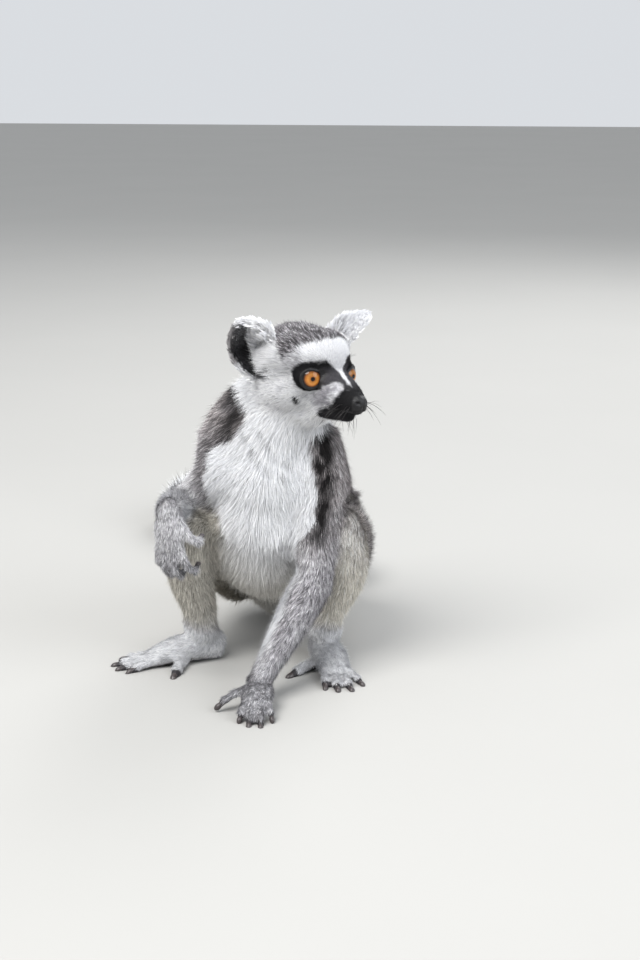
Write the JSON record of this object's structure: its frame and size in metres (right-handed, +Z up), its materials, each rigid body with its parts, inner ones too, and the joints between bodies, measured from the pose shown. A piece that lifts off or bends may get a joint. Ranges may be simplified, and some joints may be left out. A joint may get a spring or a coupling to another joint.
{
  "type": "ring-tailed lemur",
  "caption": "Ring-tailed lemur sitting on its rump, one hand planted ahead, the other wrist over a raised knee, head turned to its left, ringed tail on the ground.",
  "frame": {"origin": "middle of the rump's flat on the floor", "axes": "+Z up, the body faces -Y, +X is the animal's left, the tail trails towards +Y"},
  "size_m": [0.2363, 0.5586, 0.2559],
  "materials": {
    "grey_coat": "short dense speckled grey fur",
    "white_coat": "soft white fur",
    "black_coat": "black fur and dark skin",
    "amber_eye": "wet amber eye with a round black pupil"
  },
  "bodies": {
    "root": {"head": "grey_coat", "eye_left": "amber_eye", "eye_right": "amber_eye", "ear_left": "white_coat", "ear_right": "white_coat", "neck": "white_coat", "chest": "white_coat", "belly": "white_coat", "pelvis": "grey_coat", "upper_arm_left": "grey_coat", "upper_arm_right": "grey_coat", "forearm_left": "grey_coat", "forearm_right": "grey_coat", "hand_left": "grey_coat", "hand_right": "grey_coat", "thigh_left": "grey_coat", "thigh_right": "grey_coat", "shank_left": "white_coat", "shank_right": "white_coat", "foot_left": "white_coat", "foot_right": "white_coat", "tail_1": "white_coat", "tail_2": "black_coat", "tail_3": "white_coat", "tail_4": "black_coat", "tail_5": "white_coat", "tail_6": "black_coat"}
  },
  "joints": []
}
